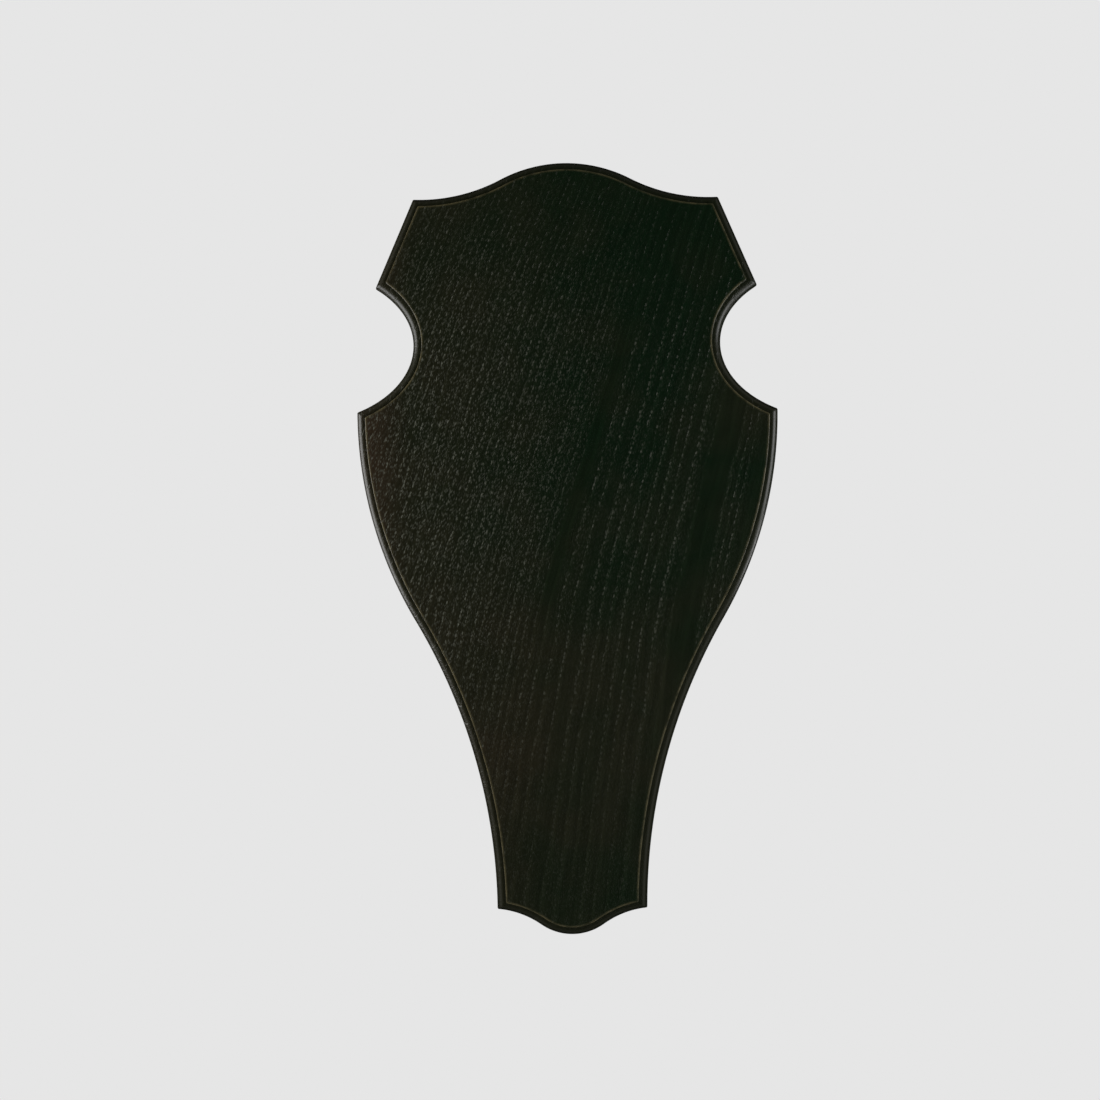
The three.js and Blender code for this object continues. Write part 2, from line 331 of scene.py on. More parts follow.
def line(x, z, heading):
    """A straight run: its start plus the way along times the cosine and sine of its heading."""
    return lambda way: (x + way * math.cos(heading), z + way * math.sin(heading), heading + 0 * way)


def oval(centre_x, centre_z, reach, rise):
    """A run round an ellipse, anticlockwise from its right-hand end.

    The angle is the way over the mean of the half axes. A point is the centre plus the reach times
    the angle's cosine and the rise times its sine.
    """
    mean = (reach + rise) / 2

    def run(way):
        turn = way / mean
        heading = np.arctan2(rise * np.cos(turn), -reach * np.sin(turn))
        return centre_x + reach * np.cos(turn), centre_z + rise * np.sin(turn), heading

    return run


def ogee(nose, half_width, drop, flare):
    """Arcs of the crown or foot edge, nose first, as pairs of length and bend.

    The nose starts level on the centre line and the hollow ends at the corner, rising by the flare.
    Both circles touch, so the hollow's radius is the corner's squared distance from the nose's top,
    less twice the nose radius times the drop, over twice the pull of the corner towards its centre.
    """
    spare = half_width**2 + drop**2 - 2 * nose * drop
    pull = nose * (1 - math.cos(flare)) + half_width * math.sin(flare) + drop * math.cos(flare)
    hollow = spare / (2 * pull)
    across = half_width - hollow * math.sin(flare)
    slope = math.atan2(across, nose - drop + hollow * math.cos(flare))
    return [(nose * slope, -1 / nose), (hollow * (slope + flare), 1 / hollow)]


def moved_in(run, way, inset):
    """A point of the run moved into the wood: the run turned right by a quarter, times the inset."""
    x, z, heading = run(way)
    return np.stack([x + inset * np.sin(heading), z - inset * np.cos(heading)], axis=-1)


def meet(first, second, inset, guess):
    """Ways along two runs at which they meet once both are moved in, by Newton's method.

    All insets are worked out at once. The slopes are differences over a very short step.
    """
    step, rounds = 1e-7, 30
    a, b = (np.full(inset.shape, value) for value in guess)
    for _ in range(rounds):
        gap = moved_in(first, a, inset) - moved_in(second, b, inset)
        by_a = (moved_in(first, a + step, inset) - moved_in(first, a, inset)) / step
        by_b = (moved_in(second, b, inset) - moved_in(second, b + step, inset)) / step
        scale = by_a[..., 0] * by_b[..., 1] - by_a[..., 1] * by_b[..., 0]
        a = a - (gap[..., 0] * by_b[..., 1] - gap[..., 1] * by_b[..., 0]) / scale
        b = b - (by_a[..., 0] * gap[..., 1] - by_a[..., 1] * gap[..., 0]) / scale
    return a, b


def shield_runs(size):
    """The runs down the right-hand side of the shield and a first guess at each corner's ways."""
    top = size.height / 2
    crown = ogee(size.crown_nose, size.shoulder_width / 2, size.shoulder_drop, size.crown_flare)
    crown_run = chain(0.0, top, 0.0, crown)
    shoulder = (size.shoulder_width / 2, top - size.shoulder_drop)
    slant_run = line(*shoulder, size.slant - math.pi / 2)
    waist = top - size.waist_drop
    notch_run = oval(
        size.waist_width / 2 + size.notch_reach, waist, size.notch_reach, size.notch_rise
    )
    belly_x = size.belly_width / 2 - size.belly_radius
    neck_x = size.neck_width / 2 + size.neck_radius
    fall = math.sqrt((size.belly_radius + size.neck_radius) ** 2 - (neck_x - belly_x) ** 2)
    turn = math.atan2(fall, neck_x - belly_x)
    belly_level = top - size.belly_drop
    belly = (size.belly_radius * turn, -1 / size.belly_radius)
    neck = (size.neck_radius * turn, 1 / size.neck_radius)
    flank_run = chain(size.belly_width / 2, belly_level, -math.pi / 2, [belly, neck])
    foot_level = size.foot_rise - top
    neck_turn = math.asin((foot_level - (belly_level - fall)) / size.neck_radius)
    foot_half = neck_x - size.neck_radius * math.cos(neck_turn)
    foot = ogee(size.foot_nose, foot_half, size.foot_rise, size.foot_flare)[::-1]
    foot_run = chain(foot_half, foot_level, -math.pi - size.foot_flare, foot)
    mean = (size.notch_reach + size.notch_rise) / 2
    tip_way = (shoulder[1] - waist - 0.8 * size.notch_rise) / math.cos(size.slant)
    upper_tip, lower_tip = 0.7 * math.pi * mean, 1.34 * math.pi * mean
    guesses = [
        (sum(arc[0] for arc in crown), 0.0),
        (tip_way, upper_tip),
        (lower_tip, 0.0),
        (belly[0] + neck[0] - size.neck_radius * neck_turn, 0.0),
    ]
    return [crown_run, slant_run, notch_run, flank_run, foot_run], guesses, sum(a[0] for a in foot)


def shield_rings(size, inset, ease):
    """The whole outline moved in by each inset, as an array of rings, points and (x, z).

    Each run is divided evenly between its corners. At a corner the last and first points of the
    two runs, and the corner between them, are the three handles of a quadratic curve, which rubs
    the corner back. The left-hand side is the right-hand side with x turned round.
    """
    runs, guesses, foot_length = shield_runs(size)
    inset = np.asarray(inset, float)
    ways = [meet(*pair, inset, guess) for *pair, guess in zip(runs, runs[1:], guesses)]
    starts = [np.zeros_like(inset)] + [second + ease for _, second in ways]
    ends = [first - ease for first, _ in ways] + [np.full_like(inset, foot_length)]
    steps = [CROWN_STEPS, SLANT_STEPS, NOTCH_STEPS, FLANK_STEPS, FOOT_STEPS]
    blend = np.linspace(0, 1, CORNER_STEPS + 2)[1:-1, None]
    parts = []
    for index, (run, start, end, count) in enumerate(zip(runs, starts, ends, steps)):
        share = np.linspace(0, 1, count + 1)
        way = start[:, None] + (end - start)[:, None] * share
        parts.append(moved_in(run, way, inset[:, None]))
        if index < len(ways):
            before = parts[-1][:, -1:]
            corner = moved_in(run, ways[index][0], inset)[:, None]
            after = moved_in(runs[index + 1], starts[index + 1], inset)[:, None]
            parts.append(
                (1 - blend) ** 2 * before + 2 * blend * (1 - blend) * corner + blend**2 * after
            )
    right = np.concatenate(parts, axis=1)
    right[:, [0, -1], 0] = 0.0
    left = right[:, -2:0:-1] * [-1, 1]
    return np.concatenate([right, left], axis=1)


# The board's mesh

def rounded(steps):
    """Sine and cosine of evenly spaced angles from nothing to a quarter turn."""
    turn = np.linspace(0, math.pi / 2, steps + 1)
    return np.sin(turn), np.cos(turn)


def edge_section(size, edge):
    """The section carried round the outline: inset, height above the back, rubbed and moulded shares.

    From the back: a small quarter circle, the wall, which leans out in a straight line by the
    undercut, a quarter round as wide and as high as its two sizes say, a shelf, a small fillet, the
    step, and the sanded edge of the face, another quarter circle. The first ring lies flat on the
    back and the last one on the face. Rubbed is 1 at the middle of the sanded edge, and moulded is
    1 below it.
    """
    sine, cosine = rounded(SMALL_ROUND_STEPS)
    face_inset = edge.round_width + edge.shelf_width
    shelf = size.thickness - edge.step_height
    wall_top = shelf - edge.round_height
    back = np.stack(
        [edge.undercut + edge.back_edge * (1 - sine), edge.back_edge * (1 - cosine)], axis=1
    )
    rise = np.linspace(0, 1, WALL_STEPS + 1)[1:-1]
    wall_height = edge.back_edge + (wall_top - edge.back_edge) * rise
    wall = np.stack([edge.undercut * (1 - rise), wall_height], axis=1)
    big_sine, big_cosine = rounded(ROUND_STEPS)
    over = np.stack(
        [edge.round_width * (1 - big_cosine), wall_top + edge.round_height * big_sine], axis=1
    )
    fillet = np.stack(
        [face_inset - edge.shelf_fillet * (1 - sine), shelf + edge.shelf_fillet * (1 - cosine)],
        axis=1,
    )
    face = np.stack(
        [
            face_inset + edge.face_edge * (1 - cosine),
            size.thickness - edge.face_edge * (1 - sine),
        ],
        axis=1,
    )
    flat = np.array([[face_inset + edge.face_edge + FLAT_RIM, size.thickness]])
    flat_back = np.array([[edge.undercut + edge.back_edge + FLAT_RIM, 0.0]])
    section = np.concatenate([flat_back, back, wall, over, fillet, face, flat])
    middle = face[SMALL_ROUND_STEPS // 2]
    rubbed = np.exp(-((np.hypot(*(section - middle).T) / edge.face_edge) ** 2))
    moulded = np.where(np.arange(len(section)) < len(section) - len(face) - 1, 1.0, 0.0)
    return section, rubbed, moulded


def keyhole_ring(keyhole, top, half_slot, radius):
    """The keyhole's outline, anticlockwise: a half circle over the slot, then the entry's circle.

    The slot's straight sides run down until they meet the entry's circle, at the root of its
    radius squared less the half slot squared above its centre.
    """
    high = top - keyhole.drop
    low = high - keyhole.travel
    open_angle = math.acos(half_slot / radius)
    over = np.linspace(0, math.pi, SLOT_END_STEPS + 1)
    side = np.linspace(0, 1, SLOT_SIDE_STEPS + 1)[1:-1]
    round_entry = np.linspace(math.pi - open_angle, 2 * math.pi + open_angle, ENTRY_STEPS + 1)
    meets = low + radius * math.sin(open_angle)
    left = np.stack([np.full_like(side, -half_slot), high + (meets - high) * side], axis=1)
    return np.concatenate(
        [
            np.stack([half_slot * np.cos(over), high + half_slot * np.sin(over)], axis=1),
            left,
            np.stack([radius * np.cos(round_entry), low + radius * np.sin(round_entry)], axis=1),
            left[::-1] * [-1, 1],
        ]
    )


def ring_faces(first, rings, count):
    """Four-sided faces between rings that each have the same number of points, all round."""
    ring, point = np.meshgrid(np.arange(rings - 1), np.arange(count), indexing="ij")
    here, beside = first + ring * count, (point + 1) % count
    corners = [here + point, here + count + point, here + count + beside, here + beside]
    return np.stack(corners, axis=-1).reshape(-1, 4)


def cap_faces(loops, firsts, facing):
    """Triangles that fill a flat loop, with any further loops as holes, facing along +Y or -Y."""
    flat = [[Vector((x, 0.0, z)) for x, z in loop] for loop in loops]
    index = np.concatenate([first + np.arange(len(loop)) for loop, first in zip(loops, firsts)])
    points = np.concatenate(loops)
    triangles = np.array(tessellate_polygon(flat))
    a, b, c = (points[triangles[:, corner]] for corner in range(3))
    area = (b[:, 0] - a[:, 0]) * (c[:, 1] - a[:, 1]) - (b[:, 1] - a[:, 1]) * (c[:, 0] - a[:, 0])
    wrong = area * -facing < 0
    triangles[wrong] = triangles[wrong][:, ::-1]
    return index[triangles]


def board_mesh(size, edge, keyhole):
    """The board: its section carried round the outline, closed by the face and by the back.

    The back has the keyhole recess let into it: its outline eased at the mouth, carried down to
    the lip's depth, widened to the channel, carried down again and closed by a floor.
    """
    section, rubbed, moulded = edge_section(size, edge)
    rings = shield_rings(size, section[:, 0], edge.corner_ease)
    count = rings.shape[1]
    depth = np.broadcast_to(-section[:, 1, None], rings.shape[:2])
    outside = np.stack([rings[..., 0], depth, rings[..., 1]], axis=-1).reshape(-1, 3)
    top, radius = size.height / 2, keyhole.entry / 2
    slot, channel = keyhole.shank / 2, keyhole.channel / 2
    floor = keyhole.lip + keyhole.room
    ease, bent = keyhole.ease, keyhole.ease * 0.3
    levels = [
        (slot + ease + FLAT_RIM, radius + ease + FLAT_RIM, 0.0),
        (slot + ease, radius + ease, 0.0),
        (slot + bent, radius + bent, bent),
        (slot, radius, ease),
        (slot, radius, keyhole.lip),
        (channel, radius, keyhole.lip),
        (channel, radius, floor),
    ]
    holes = [keyhole_ring(keyhole, top, half, wide) for half, wide, _ in levels]
    hole_count = len(holes[0])
    inside = np.concatenate(
        [np.insert(hole, 1, -deep, axis=1) for hole, (_, _, deep) in zip(holes, levels)]
    )
    start = len(outside)
    points = np.concatenate([outside, inside])
    walls = ring_faces(0, len(section), count)
    pocket = ring_faces(start, len(levels), hole_count)
    last_ring, last_hole = (len(section) - 1) * count, start + (len(levels) - 1) * hole_count
    face = cap_faces([rings[-1]], [last_ring], -1)
    back = cap_faces([rings[0], holes[0]], [0, start], 1)
    bottom = cap_faces([holes[-1]], [last_hole], 1)
    groups = [(walls, 0), (face, 0), (back, 1), (pocket, 2), (bottom, 2)]
    slots = np.concatenate([np.full(len(faces), slot_index) for faces, slot_index in groups])
    behind = len(walls) // (len(section) - 1) * (SMALL_ROUND_STEPS // 2 + 1)
    slots[:behind] = 1
    faces = [row for faces, _ in groups for row in faces.tolist()]
    shares = {"rubbed": rubbed, "moulded": moulded}
    values = {
        name: np.concatenate([np.repeat(share, count), np.zeros(len(inside))])
        for name, share in shares.items()
    }
    return points, faces, slots, values


# Nodes

def add_node(tree, kind, inputs=None, **settings):
    """A node with its settings made, and its sockets given plain values or linked to others."""
    node = tree.nodes.new(kind)
    for name, value in settings.items():
        setattr(node, name, value)
    for key, value in (inputs or {}).items():
        if isinstance(value, bpy.types.NodeSocket):
            tree.links.new(value, node.inputs[key])
        else:
            node.inputs[key].default_value = value
    return node


def maths(tree, operation, *values):
    """The output of a Math node on up to three values."""
    return add_node(tree, "ShaderNodeMath", dict(enumerate(values)), operation=operation).outputs[0]


def vectors(tree, operation, *values):
    """The output of a Vector Math node on its first two vectors."""
    node = add_node(tree, "ShaderNodeVectorMath", dict(enumerate(values)), operation=operation)
    return node.outputs[0]


def joined(tree, operation, first, *others):
    """The values put together one after another, by a Math node each."""
    for value in others:
        first = maths(tree, operation, first, value)
    return first


def place_in_mm(tree):
    """The place in the object's own coordinates, in millimetres."""
    place = add_node(tree, "ShaderNodeTexCoord").outputs["Object"]
    return vectors(tree, "MULTIPLY", place, (1 / MM,) * 3)


def away_from(tree, value, middle):
    """How far the value is from the middle."""
    return maths(tree, "ABSOLUTE", maths(tree, "SUBTRACT", value, middle))


def ramp(tree, value, low, high, start=0.0, end=1.0):
    """A smooth step from start to end as the value goes from low to high."""
    inputs = {"Value": value, "From Min": low, "From Max": high, "To Min": start, "To Max": end}
    return add_node(
        tree, "ShaderNodeMapRange", inputs, interpolation_type="SMOOTHSTEP"
    ).outputs["Result"]


def band(tree, value, rise, fade):
    """A mask that comes in smoothly between two places and fades again between two others."""
    return maths(tree, "MULTIPLY", ramp(tree, value, *rise), ramp(tree, value, *fade, 1.0, 0.0))


def mix_colour(tree, share, first, second, clamp=True):
    """The two colours mixed by the share of the second, which may go past 1 if it isn't clamped."""
    node = add_node(
        tree,
        "ShaderNodeMix",
        {"Factor": share, 6: first, 7: second},
        data_type="RGBA",
        clamp_factor=clamp,
    )
    return node.outputs[2]


def noise(tree, vector, scale, detail=2.0, roughness=0.5):
    """A noise texture's value and colour at a scale in features per unit of the vector."""
    node = add_node(
        tree,
        "ShaderNodeTexNoise",
        {"Vector": vector, "Scale": scale, "Detail": detail, "Roughness": roughness},
    )
    return node.outputs[0], node.outputs[1]


def opaque(rgb, share=1.0):
    """The colour, or a share of it, with a fourth value for full cover."""
    return (*(value * share for value in rgb), 1.0)


def new_group(name, inputs):
    """An empty shader node group, and its float inputs made with these defaults."""
    group = bpy.data.node_groups.new(name, "ShaderNodeTree")
    for label, default in inputs.items():
        socket = group.interface.new_socket(label, in_out="INPUT", socket_type="NodeSocketFloat")
        socket.default_value = default
    return group, group.nodes.new("NodeGroupInput").outputs


def put_out(group, values):
    """Makes a float output of the group for each value, under its label."""
    for label in values:
        group.interface.new_socket(label, in_out="OUTPUT", socket_type="NodeSocketFloat")
    result = group.nodes.new("NodeGroupOutput")
    for label, value in values.items():
        group.links.new(value, result.inputs[label])


def vessels(tree, ring, around, along, pitch_around, pitch_along, low, high):
    """Long narrow pores on the sheet of one ring, as a mask and a random strength.

    The sheet is laid flat with the way around and along the log as its axes, and shifted for each
    ring. Each cell of a Voronoi pattern on it holds a pore: the smooth step down from its middle.
    """
    flat = [
        maths(tree, "MULTIPLY_ADD", ring, shift, maths(tree, "DIVIDE", way, pitch))
        for shift, way, pitch in zip(RING_SHIFT, (around, along), (pitch_around, pitch_along))
    ]
    place = add_node(tree, "ShaderNodeCombineXYZ", dict(enumerate(flat))).outputs[0]
    cell = add_node(
        tree,
        "ShaderNodeTexVoronoi",
        {"Vector": place, "Scale": 1.0, "Randomness": PORE_SCATTER},
        voronoi_dimensions="2D",
    )
    drawn = add_node(tree, "ShaderNodeSeparateColor", {0: cell.outputs["Color"]})
    body = ramp(tree, cell.outputs["Distance"], low, high, 1.0, 0.0)
    strength = ramp(tree, drawn.outputs[0], *PORE_STRENGTH)
    return maths(tree, "MULTIPLY", body, strength)


def oak_grain_group():
    """Oak as a solid pattern in millimetres of the object's own coordinates.

    The place is bent by slow noise and leaned, more so upwards and to the left. Rings are sheets
    that go through the board aslant. Their count grows with the way across by straight pieces, one
    between each two of the places at which it is given, plus slow noise. Open pores stand in a row
    at the start of each ring. Fine ones are crowded on the left. Both are few in the quiet strips,
    which are given by their middles and half widths. Towards the foot the rows thin out and more of
    the fine ones show.
    """
    inputs = {
        "Lean": 0.265,
        "Lean Growth": 0.00085,
        "Fan": 0.0012,
        "Slant": 0.55,
        "Turn": 0.8,
        "Crowd Place": -7.0,
        "Crowd Spread": 16.0,
    }
    group, size = new_group("Oak grain", inputs)
    mm = place_in_mm(group)
    bends = []
    for scale, detail, reach in (SLOW_BEND, QUICK_BEND):
        drawn = vectors(group, "SUBTRACT", noise(group, mm, scale, detail)[1], (0.5,) * 3)
        bends.append(vectors(group, "MULTIPLY", drawn, reach))
    bent = vectors(group, "ADD", mm, vectors(group, "ADD", *bends))
    x, y, z = add_node(group, "ShaderNodeSeparateXYZ", {0: bent}).outputs
    lean = maths(group, "MULTIPLY_ADD", z, size["Lean Growth"], size["Lean"])
    lean = maths(group, "SUBTRACT", lean, maths(group, "MULTIPLY", x, size["Fan"]))
    upright = maths(group, "SUBTRACT", x, maths(group, "MULTIPLY", z, lean))
    along = maths(group, "MULTIPLY_ADD", x, size["Lean"], z)
    depth = maths(group, "SUBTRACT", y, BOARD_LOW[1] / MM)
    across = maths(group, "MULTIPLY_ADD", depth, size["Slant"], upright)
    around = maths(group, "MULTIPLY_ADD", depth, size["Turn"], upright)
    ways = add_node(group, "ShaderNodeCombineXYZ", {0: across}).outputs[0]
    seasons = maths(group, "SUBTRACT", noise(group, ways, SEASON_SCALE, 1.0)[0], 0.5)
    count = maths(group, "MULTIPLY", seasons, SEASON_SPREAD)
    for (low, first), (high, last) in zip(RING_PLACES, RING_PLACES[1:]):
        piece = {"Value": across, "From Min": low, "From Max": high, "To Max": last - first}
        step = add_node(group, "ShaderNodeMapRange", piece).outputs["Result"]
        count = maths(group, "ADD", count, step)
    count = maths(group, "ADD", count, RING_PLACES[0][1])
    ring = maths(group, "FLOOR", count)
    year = maths(group, "SUBTRACT", count, ring)
    loud = ramp(group, away_from(group, z, SHORT_STRIP_LEVEL), *SHORT_STRIP_ENDS)
    for index, (middle, half) in enumerate(QUIET_STRIPS):
        soft = half * STRIP_SOFTNESS
        beside = ramp(group, away_from(group, across, middle), half - soft, half + soft)
        loud = maths(group, "MULTIPLY" if index else "MAXIMUM", loud, beside)
    first_row = band(group, year, ROW_RISE, ROW_FADE)
    thinning = ramp(group, z, *FOOT_STARTS, ROWS_AT_FOOT, 1.0)
    early = band(group, year, EARLY_RISE, EARLY_FADE)
    crowd = maths(group, "SUBTRACT", across, size["Crowd Place"])
    crowd = ramp(group, maths(group, "DIVIDE", crowd, size["Crowd Spread"]), -1.0, 1.0, 1.0, 0.0)
    rows = vessels(group, ring, around, along, *ROW_PORES)
    pores = joined(group, "MULTIPLY", rows, maths(group, "MULTIPLY", first_row, thinning), loud)
    layer = maths(group, "FLOOR", maths(group, "DIVIDE", across, FINE_LAYER))
    fine = vessels(group, layer, around, along, *FINE_PORES)
    share = maths(group, "MULTIPLY_ADD", early, FINE_IN_EARLY, FINE_SHARE)
    share = maths(group, "MULTIPLY_ADD", crowd, FINE_IN_CROWD, share)
    share = maths(group, "ADD", share, ramp(group, z, *FOOT_STARTS, FINE_AT_FOOT, 0.0))
    fine = maths(group, "MULTIPLY", fine, maths(group, "MULTIPLY", share, loud))
    stretched = maths(group, "MULTIPLY", along, FIBRE_STRETCH)
    fibres = add_node(group, "ShaderNodeCombineXYZ", {0: across, 1: y, 2: stretched}).outputs[0]
    streak = noise(group, fibres, *FIBRE_NOISE)[0]
    patch = noise(group, mm, *PATCH_NOISE)[0]
    height = maths(group, "MULTIPLY", maths(group, "MULTIPLY_ADD", fine, FINE_DEPTH, pores), -1.0)
    height = maths(group, "MULTIPLY_ADD", streak, FIBRE_RELIEF, height)
    slow = {"Streak": streak, "Patch": patch, "Height": height}
    put_out(group, {"Early": early, "Pore": pores, "Fine": fine, **slow})
    return group


# Finishes

def new_material(name, grain_group):
    """A material with a Principled shader and the oak grain placed in it."""
    material = bpy.data.materials.new(name)
    material.use_nodes = True
    tree = material.node_tree
    tree.nodes.clear()
    shader = tree.nodes.new("ShaderNodeBsdfPrincipled")
    output = tree.nodes.new("ShaderNodeOutputMaterial")
    tree.links.new(shader.outputs[0], output.inputs[0])
    grain = tree.nodes.new("ShaderNodeGroup")
    grain.node_tree = grain_group
    return material, tree, shader, grain.outputs


def surface_relief(tree, shader, height, depth):
    """Links a height, in shares of the depth, to the shader's normal."""
    bump = add_node(tree, "ShaderNodeBump", {"Height": height, "Strength": 1.0, "Distance": depth})
    tree.links.new(bump.outputs[0], shader.inputs["Normal"])


def drift_group():
    """Two slow changes over the board, in millimetres of the object's own coordinates.

    Warmth and painted light is the sum of smooth steps up to the left, a painted warm light, and up to the
    left-hand edge, a painted sheen; of a level belt across the lower half, of a paler spot below the
    right-hand notch and of soft patches of stain tone; less a painted shade towards the upper right. Pore
    show and glint is how strongly the pores are greyed with wax and a painted glint: the product of smooth
    steps down to the middle and to the right, down to the foot, up to the crown and to the upper right.
    """
    group, given = new_group("Stain and painted light drift", {"Patch": 0.5})
    x, _, z = add_node(group, "ShaderNodeSeparateXYZ", {0: place_in_mm(group)}).outputs
    left = maths(group, "MULTIPLY_ADD", z, LEFT_LEAN, x)
    corner = maths(group, "ADD", x, z)
    spot = maths(
        group,
        "MULTIPLY",
        ramp(group, away_from(group, x, SPOT_MIDDLE[0]), *SPOT_ASIDE),
        ramp(group, away_from(group, z, SPOT_MIDDLE[1]), *SPOT_UP),
    )
    # Stain tone with painted warm light on the left, a painted sheen at the left edge and painted shade to
    # the upper right.
    warmth_and_painted_light = joined(
        group,
        "ADD",
        ramp(group, left, *WARM_LIGHT_FROM_LEFT),
        ramp(group, away_from(group, z, BELT_LEVEL), *WARM_BELT),
        spot,
        # Painted sheen along the left-hand edge of the face.
        ramp(group, x, *LEFT_EDGE_SHEEN),
        # Painted shade towards the upper right.
        ramp(group, corner, *UPPER_RIGHT_SHADE),
        ramp(group, given["Patch"], *WARM_PATCHES),
    )
    warmth_and_painted_light = maths(group, "MAXIMUM", warmth_and_painted_light, 0.0)
    # Painted glint on the pores, strongest where the left light falls, together with the wax that greys
    # them.
    pore_show_and_glint = joined(
        group,
        "MULTIPLY",
        ramp(group, x, *SHOW_TO_RIGHT),
        ramp(group, z, *SHOW_TO_FOOT),
        ramp(group, z, *SHOW_TO_CROWN),
        ramp(group, x, *SHOW_RIGHT_EDGE),
        ramp(group, corner, *SHOW_UPPER_RIGHT),
    )
    put_out(group, {"Warmth and painted light": warmth_and_painted_light, "Show": pore_show_and_glint})
    return group


def stained_oak(finish, grain_group):
    """Black stain under satin lacquer: pores greyed with wax, dust and a painted glint, the tone drifting
    with painted warm light and painted shade, and the face's edge rubbed to oak.
    """
    material, tree, shader, grain = new_material("stained_oak", grain_group)
    drift = tree.nodes.new("ShaderNodeGroup")
    drift.node_tree = drift_group()
    tree.links.new(grain["Patch"], drift.inputs["Patch"])
    # The stain's tone mixed between the cool end with painted shade and the warm end with painted warm
    # light.
    cool_and_shaded, warm_and_lit = opaque(finish.cool_stain_and_shade), opaque(finish.warm_stain_and_light)
    stain = mix_colour(tree, drift.outputs["Warmth and painted light"], cool_and_shaded, warm_and_lit, clamp=False)
    gain = maths(tree, "MULTIPLY_ADD", grain["Early"], finish.early_gain - 1.0, 1.0)
    gain = maths(tree, "MULTIPLY", gain, ramp(tree, grain["Streak"], *STREAK_GAIN))
    stain = vectors(tree, "MULTIPLY", stain, gain)
    # Pores greyed with wax and dust and lit by a painted glint, as much as the pores and the drift's pore
    # show allow.
    pores_greyed_and_glinting = maths(tree, "MULTIPLY_ADD", grain["Fine"], FINE_FILLED_AND_GLINT, grain["Pore"])
    pores_greyed_and_glinting = maths(tree, "MULTIPLY", pores_greyed_and_glinting, drift.outputs["Show"])
    stain = mix_colour(tree, pores_greyed_and_glinting, stain, opaque(finish.pore_wax_and_glint))
    rubbed = add_node(tree, "ShaderNodeAttribute", attribute_name="rubbed").outputs["Fac"]
    moulded = add_node(tree, "ShaderNodeAttribute", attribute_name="moulded").outputs["Fac"]
    wear = ramp(tree, noise(tree, place_in_mm(tree), *WEAR_NOISE)[0], *WEAR)
    bare = maths(tree, "MULTIPLY", rubbed, wear)
    stain = mix_colour(tree, bare, stain, opaque(finish.rubbed))
    cover = maths(tree, "MULTIPLY", moulded, EDGE_STAIN_COVER)
    stain = mix_colour(tree, cover, stain, opaque(finish.edge_stain))
    tree.links.new(stain, shader.inputs["Base Color"])
    least, most = finish.sheen - SHEEN_BELOW, finish.sheen + SHEEN_ABOVE
    sheen = ramp(tree, grain["Streak"], *SHEEN_STREAKS, least, most)
    dull = maths(tree, "MULTIPLY_ADD", grain["Pore"], PORE_DULLNESS, sheen)
    tree.links.new(dull, shader.inputs["Roughness"])
    surface_relief(tree, shader, grain["Height"], finish.pore_depth)
    return material


def back_oak(finish, grain_group):
    """The back: one thin coat of stain on sanded oak, with no lacquer over it."""
    material, tree, shader, grain = new_material("back_oak", grain_group)
    thin, early = opaque(finish.back_stain), opaque(finish.back_stain, EARLY_SHADE)
    stain = mix_colour(tree, grain["Early"], thin, early)
    stain = vectors(tree, "MULTIPLY", stain, ramp(tree, grain["Streak"], *BACK_STREAK_GAIN))
    stain = mix_colour(tree, grain["Pore"], stain, opaque(finish.back_stain, BACK_PORE_SHADE))
    tree.links.new(stain, shader.inputs["Base Color"])
    shader.inputs["Roughness"].default_value = BACK_ROUGHNESS
    surface_relief(tree, shader, grain["Height"], finish.pore_depth)
    return material


def raw_oak(finish, grain_group):
    """Inside the recess: oak as the cutter left it."""
    material, tree, shader, grain = new_material("raw_oak", grain_group)
    fresh, early = opaque(finish.raw_wood), opaque(finish.raw_wood, EARLY_SHADE)
    wood = mix_colour(tree, grain["Early"], fresh, early)
    wood = mix_colour(tree, grain["Pore"], wood, opaque(finish.raw_wood, RAW_PORE_SHADE))
    tree.links.new(wood, shader.inputs["Base Color"])
    shader.inputs["Roughness"].default_value = RAW_ROUGHNESS
    surface_relief(tree, shader, grain["Height"], finish.pore_depth)
    return material


# Objects, studio and add-on

def new_object(name, points, faces):
    """A mesh object in the scene, with its place in its mesh."""
    mesh = bpy.data.meshes.new(name)
    mesh.from_pydata(points, [], faces)
    mesh.update()
    made = bpy.data.objects.new(name, mesh)
    bpy.context.scene.collection.objects.link(made)
    return made


class PLAQUE_OT_board(bpy.types.Operator):
    """Make the board, with its moulding, keyhole recess and wood finishes"""

    bl_idname = "plaque.board"
    bl_label = "Board"

    def execute(self, context):
        scene = context.scene
        points, faces, slots, values = board_mesh(
            scene.plaque_outline, scene.plaque_edge, scene.plaque_keyhole
        )
        board = new_object("oak_board", points, faces)
        mesh = board.data
        grain_group = oak_grain_group()
        for finish in (stained_oak, back_oak, raw_oak):
            mesh.materials.append(finish(scene.plaque_finish, grain_group))
        mesh.polygons.foreach_set("material_index", slots)
        for name, share in values.items():
            attribute = mesh.attributes.new(name, "FLOAT", "POINT")
            attribute.data.foreach_set("value", share)
        mesh.shade_smooth()
        mesh.set_sharp_from_angle(angle=math.radians(SHARP_FROM_DEG))
        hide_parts("plaque_board")
        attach(board, "root")
        return {"FINISHED"}


